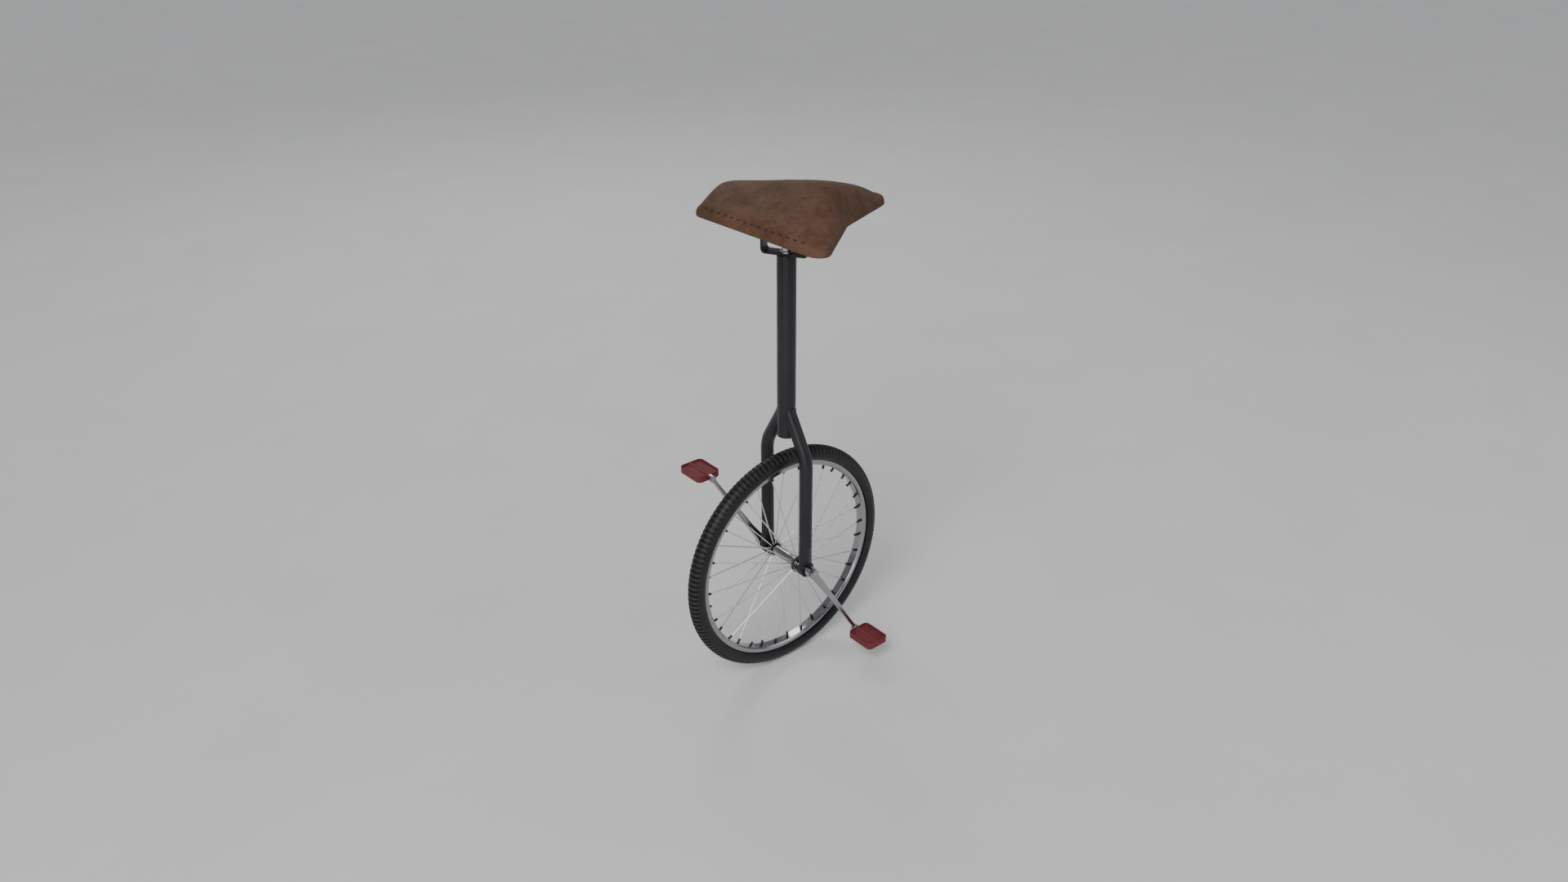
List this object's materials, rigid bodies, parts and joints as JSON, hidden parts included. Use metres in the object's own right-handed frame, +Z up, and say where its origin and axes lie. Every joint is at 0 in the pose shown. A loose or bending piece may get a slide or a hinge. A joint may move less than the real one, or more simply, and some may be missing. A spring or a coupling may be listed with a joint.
{
  "type": "unicycle",
  "caption": "Unicycle with a spoked wheel, straight two-leg fork and long seat tube, direct cranks with platform pedals, and a wide padded saddle on a U-shaped strap.",
  "frame": {"origin": "the point on the ground under the middle of the wheel, where the tyre touches", "axes": "+Z up, Y along the wheel's axle with the rider's left side at -Y, X along the rolling direction"},
  "size_m": [0.406, 0.2966, 0.8501],
  "materials": {
    "frame_paint": "satin dark grey enamel",
    "chrome": "polished chrome plate",
    "spoke_steel": "bright drawn steel",
    "hub_black": "black, slightly worn",
    "nipple_black": "black oxide",
    "bearing_steel": "ground steel",
    "cage_brass": "stamped brass",
    "seal_rubber": "matt",
    "tyre_rubber": "ribbed tread, smooth shoulders",
    "tube_rubber": "smooth",
    "rim_tape": "red-brown rubber band",
    "valve_brass": "nickelled brass",
    "cap_plastic": "moulded",
    "pedal_red": "moulded, dark red",
    "bush_nylon": "nylon",
    "spindle_steel": "turned steel",
    "stem_steel": "drawn steel",
    "fastener_steel": "zinc plated",
    "strap_steel": "black enamel, worn edges",
    "base_plastic": "moulded",
    "foam": "open-cell foam",
    "saddle_leather": "brown suede, mottled"
  },
  "bodies": {
    "frame": {"seat_tube": "frame_paint", "left_fork_leg": "frame_paint", "left_bearing_housing": "frame_paint", "left_outer_race": "bearing_steel", "left_bearing_seals": "seal_rubber", "right_fork_leg": "frame_paint", "right_bearing_housing": "frame_paint", "right_outer_race": "bearing_steel", "right_bearing_seals": "seal_rubber"},
    "wheel": {"tyre": "tyre_rubber", "inner_tube": "tube_rubber", "rim_tape": "rim_tape", "rim": "chrome", "valve_stem": "valve_brass", "valve_cap": "cap_plastic", "hub_axle": "spindle_steel", "hub_shell": "chrome", "spoke_nipples": "nipple_black", "crank_nuts": "chrome", "left_spokes": "spoke_steel", "left_hub_flange": "hub_black", "left_axle_spacers": "chrome", "left_inner_race": "bearing_steel", "left_bearing_balls": "bearing_steel", "left_ball_cage": "cage_brass", "left_crank": "chrome", "left_pedal_spindle": "spindle_steel", "right_spokes": "spoke_steel", "right_hub_flange": "hub_black", "right_axle_spacers": "chrome", "right_inner_race": "bearing_steel", "right_bearing_balls": "bearing_steel", "right_ball_cage": "cage_brass", "right_crank": "chrome", "right_pedal_spindle": "spindle_steel", "left_pedal_nut": "fastener_steel", "right_pedal_nut": "fastener_steel"},
    "left_pedal": {"left_pedal_body": "pedal_red", "left_pedal_bushes": "bush_nylon", "left_pedal_cap": "pedal_red"},
    "right_pedal": {"right_pedal_body": "pedal_red", "right_pedal_bushes": "bush_nylon", "right_pedal_cap": "pedal_red"},
    "stem": {"stem_tube": "stem_steel", "stem_plug": "stem_steel", "expander_wedge": "stem_steel", "clamp_bolt": "fastener_steel"},
    "saddle": {"saddle_strap": "strap_steel", "clamp_washer": "fastener_steel", "saddle_rivets": "fastener_steel", "saddle_base": "base_plastic", "foam_pad": "foam", "saddle_cover": "saddle_leather"}
  },
  "joints": [
    {"name": "wheel_spin", "type": "hinge", "parent": "frame", "child": "wheel", "pos_m": [0, 0, 0.203], "axis": [0, 1, 0], "continuous": true},
    {"name": "left_pedal_spin", "type": "hinge", "parent": "wheel", "child": "left_pedal", "pos_m": [0.1002, -0.103, 0.04511], "axis": [0, 1, 0], "continuous": true},
    {"name": "right_pedal_spin", "type": "hinge", "parent": "wheel", "child": "right_pedal", "pos_m": [-0.1002, 0.103, 0.36089], "axis": [0, 1, 0], "continuous": true},
    {"name": "saddle_height", "type": "slide", "parent": "frame", "child": "stem", "axis": [0, 0, 1], "range_m": [0, 0.08]},
    {"name": "saddle_turn", "type": "hinge", "parent": "stem", "child": "saddle", "pos_m": [0, 0, 0.74], "axis": [0, 0, 1], "continuous": true}
  ]
}
